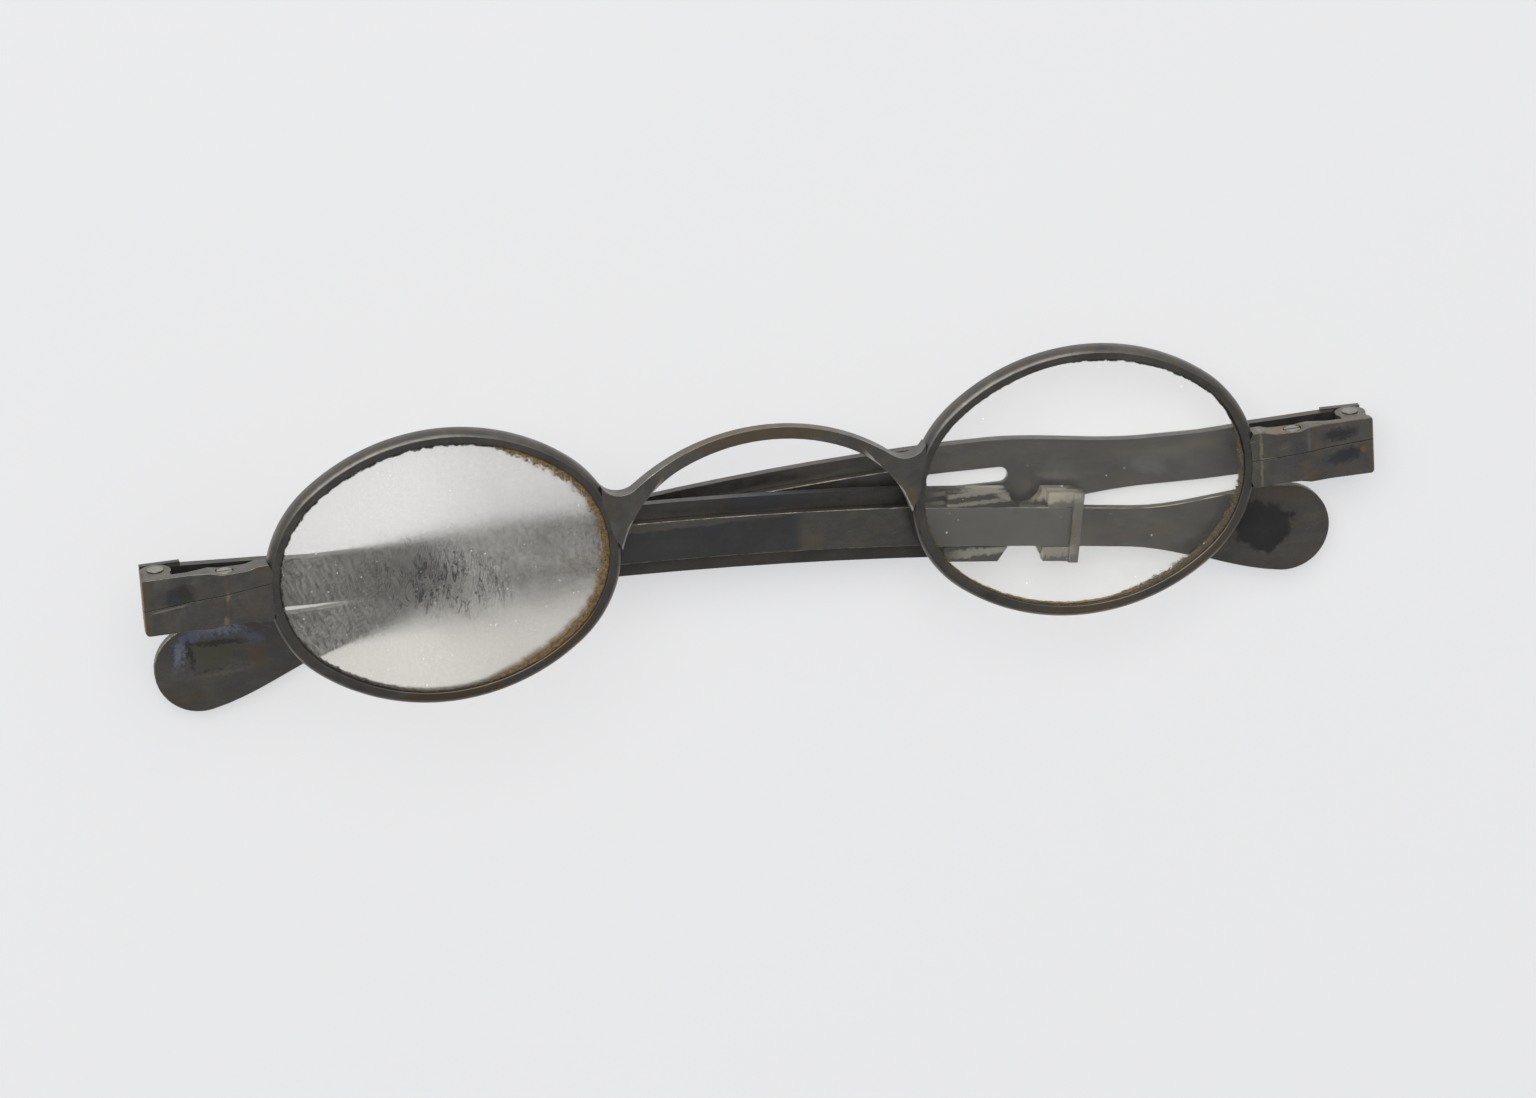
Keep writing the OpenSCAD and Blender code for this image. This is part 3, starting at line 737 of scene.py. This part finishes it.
BRIDGE_MARKS = [
    ("oval", (13.2, 0.7), (0.5, 1.3), 0, OCHRE, 0.45, 0.4, 0.5),
    ("oval", (13.8, -1.2), (0.35, 1.4), 12, OCHRE, 0.4, 0.4, 0.5),
    ("oval", (0.0, 8.5), (9.0, 0.9), 0, BROWN, 0.7, 0.3, 0.3),
]
# Painted highlights: pale lines down the front face of the legs, where they glint, as x and y
# of the leg's inner edge, half length, turn
INSIDE = 0.14
LEG_EDGE = ((10.78, 3.58, 2.5, 37.6), (13.28, -0.83, 2.7, 22.2), (14.8, -4.82, 1.6, 17.9))
LEG_FACE_HIGHLIGHTS = [
    ("box", (side * (x + INSIDE), y), (0.14, half), side * turn, LEG_LINE, share, 0.3, 0.4)
    for side, share in ((-1, 0.5), (1, 0.85)) for x, y, half, turn in LEG_EDGE
]
# Painted highlights on the rounded nose-side edges of the legs
LEG_BEVEL_HIGHLIGHTS = [
    ("box", (side * 11.6, 1.2), (1.4, 6.0), side * 29, (0.75, 0.70, 0.62), 0.9, 0.2, 0.1)
    for side in (-1, 1)
]
# The bridge's tarnish marks, and the painted highlights down its legs
bridge_metal = tarnished(
    "bridge_metal", FRONT, 11.0, tone=1.05, brown=0.2, patchy=0.05, marks=BRIDGE_MARKS + LEG_FACE_HIGHLIGHTS
)
bridge_edge = worn_edge_and_glint(
    "bridge_edge", FRONT, 12.0, (0.34, 0.30, 0.25), (0.20, 0.18, 0.155), LEG_BEVEL_HIGHLIGHTS
)
rounded(
    "bridge", "bridge_arch", "front", METAL, [bridge_metal, bridge_edge], width=0.45, segments=5,
    change=lambda bm: sink_foot(bm, BRIDGE_END_X, reach=0.75, slope=0.5), share=bridge_share,
)


# ---------- end pieces, screws and pins ----------

END_MARKS = {
    "left": [
        ("oval", (-53.2, 0.5), (1.1, 0.95), 10, (0.070, 0.076, 0.086), 0.8, 0.45, 0.5),
        ("oval", (-52.4, 1.0), (0.7, 0.8), 0, (0.085, 0.075, 0.062), 0.8, 0.5, 0.6),
        # A painted highlight along the parting line, on its outer half
        ("box", (-53.9, -0.32), (1.5, 0.09), 7, CREAM, 0.5, 0.4, 0.3),
        ("oval", (-49.0, -2.0), (0.22, 0.40), 0, BRASS, 0.55, 0.6, 0.6),
        ("oval", (-48.7, 0.2), (0.16, 0.45), 0, BRASS, 0.6, 0.5, 0.6),
        ("box", (-48.8, 0.2), (0.10, 2.3), 0, OCHRE, 0.35, 0.6, 0.8),
        ("box", (-55.9, 0.0), (0.35, 2.6), 0, OCHRE, 0.45, 0.6, 0.4),
    ],
    "right": [
        ("oval", (53.0, 1.5), (1.5, 0.55), 4, (0.068, 0.072, 0.080), 0.85, 0.45, 0.55),
        ("oval", (53.3, -0.6), (1.7, 0.65), 12, (0.068, 0.074, 0.084), 0.85, 0.45, 0.55),
        ("box", (45.55, 0.2), (0.11, 2.6), 0, (0.36, 0.33, 0.19), 0.8, 0.5, 1.2),
        ("box", (46.2, 0.1), (0.7, 0.06), 0, CREAM, 0.6, 0.4, 0.8),
        ("box", (50.0, 1.4), (0.14, 1.1), 0, (0.26, 0.24, 0.25), 0.6, 0.5, 0.4),
        ("oval", (55.1, -0.2), (0.26, 0.26), 0, (0.40, 0.18, 0.07), 0.8, 0.4, 0.4),
        ("oval", (55.5, 1.8), (0.5, 0.9), 0, (0.150, 0.175, 0.140), 0.6, 0.5, 0.3),
        ("box", (55.95, 0.0), (0.2, 2.4), 0, OCHRE, 0.6, 0.6, 0.4),
        ("oval", (47.6, 2.5), (1.6, 0.25), 0, OCHRE, 0.7, 0.4, 0.5),
    ],
}
# Where the line between the two blocks starts at the rim, and how far it has risen at the end
PARTING = {"left": (0.8, -1.1), "right": (0.0, 0.6)}
NEAR_PARTING = 0.1
ON_PARTING = 0.18


def fit_block(bm, side):
    """Sinks a block's foot into the rim, and lets the blocks' parting line run a little aslant."""
    sink_foot(bm, BLOCK_END_X, reach=0.5, slope=2.0, halved=True)
    start, rise = PARTING[side]
    for v in bm.verts:
        p = on_front(v.co)
        if abs(p.y) < NEAR_PARTING:
            p.y += start + rise * (abs(p.x) - BLOCK_FROM) / BLOCK_LONG
            v.co = FRONT @ p * MM


def end_share(a, b):
    """How much of the full width an edge of an end piece is rounded by."""
    if at_foot((a + b) / 2, BLOCK_END_X):
        return 0.0
    return ON_PARTING if abs(a.y) < NEAR_PARTING and abs(b.y) < NEAR_PARTING else 1.0


for side, sign in SIDES:
    metal = tarnished(
        side + "_end_metal", FRONT, 20.0 + sign, tone=1.07 + 0.06 * sign, brown=0.3, patchy=0.05,
        marks=END_MARKS[side],
    )
    edge = worn_edge_and_glint(
        side + "_end_edge", FRONT, 24.0 + sign, (0.20, 0.178, 0.148), (0.13, 0.12, 0.105)
    )
    steel = tarnished(
        side + "_pin_metal", FRONT, 30.0 + sign, tone=1.9, brown=0.25, patchy=0.0, rough=0.35
    )
    for half in ("upper", "lower"):
        node = side + "_" + half + "_end_piece"
        rounded(
            node, node + "_block", "front", METAL, [metal, edge], width=0.22, segments=4,
            change=lambda bm: fit_block(bm, side), share=end_share,
        )
    for what, width in (("closing_screw", 0.08), ("hinge_pin", 0.05)):
        node = side + "_" + what
        rounded(node, node + "_head", "front", STEEL, [steel, steel], width, segments=2)


# ---------- temples: bars, collars, slides and studs ----------

TEMPLES = {
    "left": {
        "place": LEFT,
        "tone": 0.69,
        "bar": [
            ("box", (55.7, 1.3), (3.9, 1.0), 0, BLUE_BLACK, 0.8, 0.15, 0.15),
            ("box", (74.0, -0.35), (3.0, 0.20), 0, DULL_SOLDER, 0.9, 0.5, 0.6),
            ("box", (73.6, -1.25), (3.4, 0.18), 0, DULL_SOLDER, 0.8, 0.5, 0.7),
            ("oval", (76.8, -0.9), (0.9, 0.28), -25, CREAM, 0.85, 0.5, 0.8),
            ("box", (81.2, -1.3), (1.6, 0.8), 0, SOLDER, 0.85, 0.4, 0.5),
            ("box", (81.0, -6.5), (1.8, 0.45), 0, (0.50, 0.47, 0.40), 0.85, 0.4, 0.6),
            ("box", (74.5, -5.95), (2.6, 0.35), 0, (0.50, 0.47, 0.41), 0.8, 0.5, 0.7),
        ],
        # The slide's worn top edge in the notch, made paler as a painted highlight, and the same on
        # the strap's edges
        "edge": [
            ("box", (79.6, -1.8), (2.6, 0.4), 0, EDGE_GLINT_PAINT, 0.8, 0.4, 0.4),
            ("box", (83.2, -1.2), (1.0, 0.6), 0, EDGE_GLINT_PAINT, 0.8, 0.4, 0.4),
        ],
        "collar": [
            ("box", (80.9, -1.4), (1.9, 0.85), 0, SOLDER, 0.85, 0.3, 0.5),
            ("box", (80.9, -6.8), (1.9, 0.5), 0, (0.50, 0.47, 0.41), 0.8, 0.4, 0.6),
            # A painted highlight at the top of the strap
            ("box", (83.2, -1.4), (0.6, 0.7), 0, (0.62, 0.58, 0.50), 0.7, 0.4, 0.5),
        ],
        "slide": [
            ("box", (77.0, -3.9), (6.5, 3.0), 0, (0.215, 0.210, 0.200), 0.7, 0.4, 0.1),
            ("box", (48.6, -1.75), (9.3, 1.65), -1, BLUE_BLACK, 0.75, 0.07, 0.10),
            ("oval", (100.9, -7.5), (2.7, 2.3), 12, (0.058, 0.058, 0.060), 0.9, 0.12, 0.30),
            ("oval", (99.5, -5.8), (1.6, 1.2), 0, (0.062, 0.062, 0.064), 0.9, 0.15, 0.35),
            ("box", (107.3, -8.4), (0.3, 2.4), 10, OCHRE, 0.6, 0.6, 0.4),
        ],
    },
    "right": {
        "place": RIGHT,
        "tone": 0.90,
        "bar": [
            ("oval", (18.6, -0.7), (1.7, 0.7), 20, (0.22, 0.23, 0.23), 0.4, 0.5, 0.6),
            ("oval", (13.8, 0.9), (1.2, 0.5), 0, BROWN, 0.5, 0.5, 0.6),
        ],
        "edge": [],
        "collar": [],
        "slide": [
            ("box", (80.0, -4.0), (17.0, 5.0), 0, (0.125, 0.140, 0.165), 0.5, 0.4, 0.3),
            ("oval", (107.3, -8.5), (0.50, 1.3), 6, BLUE, 0.8, 0.5, 1.5),
            ("oval", (106.3, -6.9), (1.3, 0.60), -32, BLUE, 0.85, 0.5, 1.2),
            ("oval", (104.0, -6.4), (1.8, 0.55), 2, BLUE, 0.85, 0.5, 1.1),
            ("oval", (101.4, -6.9), (1.9, 0.50), 21, (0.180, 0.195, 0.260), 0.8, 0.5, 1.2),
            ("oval", (104.2, -8.6), (1.7, 1.3), 0, (0.150, 0.148, 0.112), 0.8, 0.3, 0.3),
            ("oval", (107.2, -8.3), (0.35, 0.9), 4, (0.30, 0.31, 0.38), 0.9, 0.5, 2.0),
            ("oval", (103.4, -6.3), (2.2, 0.30), 3, PALE_BLUE, 0.9, 0.5, 2.0),
            ("oval", (106.2, -8.4), (0.26, 1.5), -8, SEAM, 0.9, 0.4, 1.3),
            ("oval", (103.8, -7.55), (2.6, 0.24), 2, SEAM, 0.9, 0.4, 1.3),
            ("oval", (103.4, -10.2), (2.6, 0.22), -4, (0.085, 0.082, 0.076), 0.7, 0.4, 1.3),
            ("oval", (103.0, -10.3), (2.8, 0.3), -6, RUBBED, 0.35, 0.6, 0.9),
            ("oval", (100.2, -9.2), (1.1, 1.2), 0, (0.19, 0.135, 0.095), 0.6, 0.5, 0.7),
        ],
    },
}
for side, look in TEMPLES.items():
    place, temple, sliding = look["place"], side + "_temple", side + "_slide"
    metal = tarnished(
        side + "_bar_metal", place, 40.0, tone=look["tone"], brown=0.2, patchy=0.2, along=3.0,
        marks=look["bar"],
    )
    edge = worn_edge_and_glint(side + "_bar_edge", place, 44.0, (0.40, 0.35, 0.28), DARK, look["edge"])
    rounded(side + "_temple_bar", side + "_bar", temple, METAL, [metal, edge], 0.12, segments=3)
    solder = tarnished(
        side + "_collar_metal", place, 50.0, tone=1.6, brown=0.25, patchy=0.0, marks=look["collar"]
    )
    rounded(
        side + "_collar", side + "_collar_strap", temple, "solder_worn_silver", [solder, edge],
        0.22, segments=4,
    )
    metal = tarnished(
        side + "_slide_metal", place, 60.0, tone=1.0, brown=0.25, patchy=0.1, along=3.0,
        marks=look["slide"],
    )
    rounded(side + "_slide", side + "_slide_strip", sliding, METAL, [metal, edge], 0.14, segments=3)
    steel = tarnished(side + "_stud_metal", place, 70.0, tone=1.3, brown=0.2, patchy=0.0)
    rounded(side + "_slide_stud", side + "_stud", sliding, STEEL, [steel, steel], 0.08, segments=2)


# ---------- floor, light and camera ----------

# The floor is a thin pale sheet over a white ground. Opened, the temples point down past it,
# so the sheet lets them be seen there.
SEEN_THROUGH = 0.68
GROUND_WHITE = 0.824
FLOOR_HALF = 1.6

floor_mesh = bpy.data.meshes.new("floor")
floor_mesh.from_pydata(
    [(x * FLOOR_HALF, y * FLOOR_HALF, 0) for x, y in ((-1, -1), (1, -1), (1, 1), (-1, 1))],
    [], [(0, 1, 2, 3)],
)
floor = bpy.data.objects.new("floor", floor_mesh)
bpy.context.scene.collection.objects.link(floor)
paper = Shader("floor_paper", Matrix.Identity(4))
cloudy = paper.noise(*PAPER, 0)
pale = paper.ramp(cloudy, (0.3, (0.940, 0.935, 0.938)), (0.7, (0.955, 0.950, 0.953)))
paper.let_through(SEEN_THROUGH, paper.principled(pale, PAPER_ROUGH, 0.0))
floor_mesh.materials.append(paper.material)

world = bpy.data.worlds.new("studio")
bpy.context.scene.world = world
world.use_nodes = True
sky = world.node_tree
background = sky.nodes["Background"]
coords = sky.nodes.new("ShaderNodeTexCoord")
direction = sky.nodes.new("ShaderNodeSeparateXYZ")
sky.links.new(coords.outputs["Generated"], direction.inputs[0])


def sky_step(socket, low, high, start, end):
    """A smooth step of the sky's direction, from one strength to another."""
    n = sky.nodes.new("ShaderNodeMapRange")
    n.interpolation_type = "SMOOTHSTEP"
    sky.links.new(socket, n.inputs["Value"])
    for name, value in (("From Min", low), ("From Max", high), ("To Min", start), ("To Max", end)):
        n.inputs[name].default_value = value
    return n


# Brighter towards the brow, and below the horizon as white as the ground
above = sky_step(direction.outputs[1], -0.9, 0.9, 0.20, 0.62)
strength = sky_step(direction.outputs[2], -0.03, 0.0, GROUND_WHITE, 0.0)
sky.links.new(above.outputs[0], strength.inputs["To Max"])
background.inputs["Color"].default_value = (0.98, 0.985, 1.0, 1)
sky.links.new(strength.outputs[0], background.inputs["Strength"])

light = bpy.data.lights.new("key", "AREA")
light.shape = "RECTANGLE"
light.size, light.size_y = 1.3, 0.9
light.energy = 12.0
lamp = bpy.data.objects.new("key", light)
bpy.context.scene.collection.objects.link(lamp)
lamp.location = (-0.22, 0.76, 0.94)
lamp.rotation_euler = (-lamp.location).to_track_quat("-Z", "Y").to_euler()

# The camera, solved from the photo in the front's own frame, with lengths in millimetres
TILT, PAN, ROLL = math.radians(21.203), math.radians(11.184), math.radians(3.564)
AWAY, ASIDE, DOWN = 703.266, 0.008, 2.033
FOCAL_PIXELS, PHOTO_WIDTH, SENSOR = 7905.13, 1536, 36

view = (
    Matrix.Rotation(ROLL, 3, "Z") @ Matrix.Rotation(TILT, 3, "X") @ Matrix.Rotation(PAN, 3, "Y")
)
eye = view.transposed() @ Vector((-ASIDE, -DOWN, AWAY))
camera_data = bpy.data.cameras.new("camera")
camera_data.sensor_width = SENSOR
camera_data.lens = FOCAL_PIXELS * SENSOR / PHOTO_WIDTH
camera_data.clip_start = 0.01
camera = bpy.data.objects.new("camera", camera_data)
bpy.context.scene.collection.objects.link(camera)
axes = (FRONT.to_3x3() @ view.transposed()).to_4x4()
camera.matrix_world = Matrix.Translation(FRONT @ eye * MM) @ axes
bpy.context.scene.camera = camera
bpy.context.scene.view_settings.view_transform = "Standard"
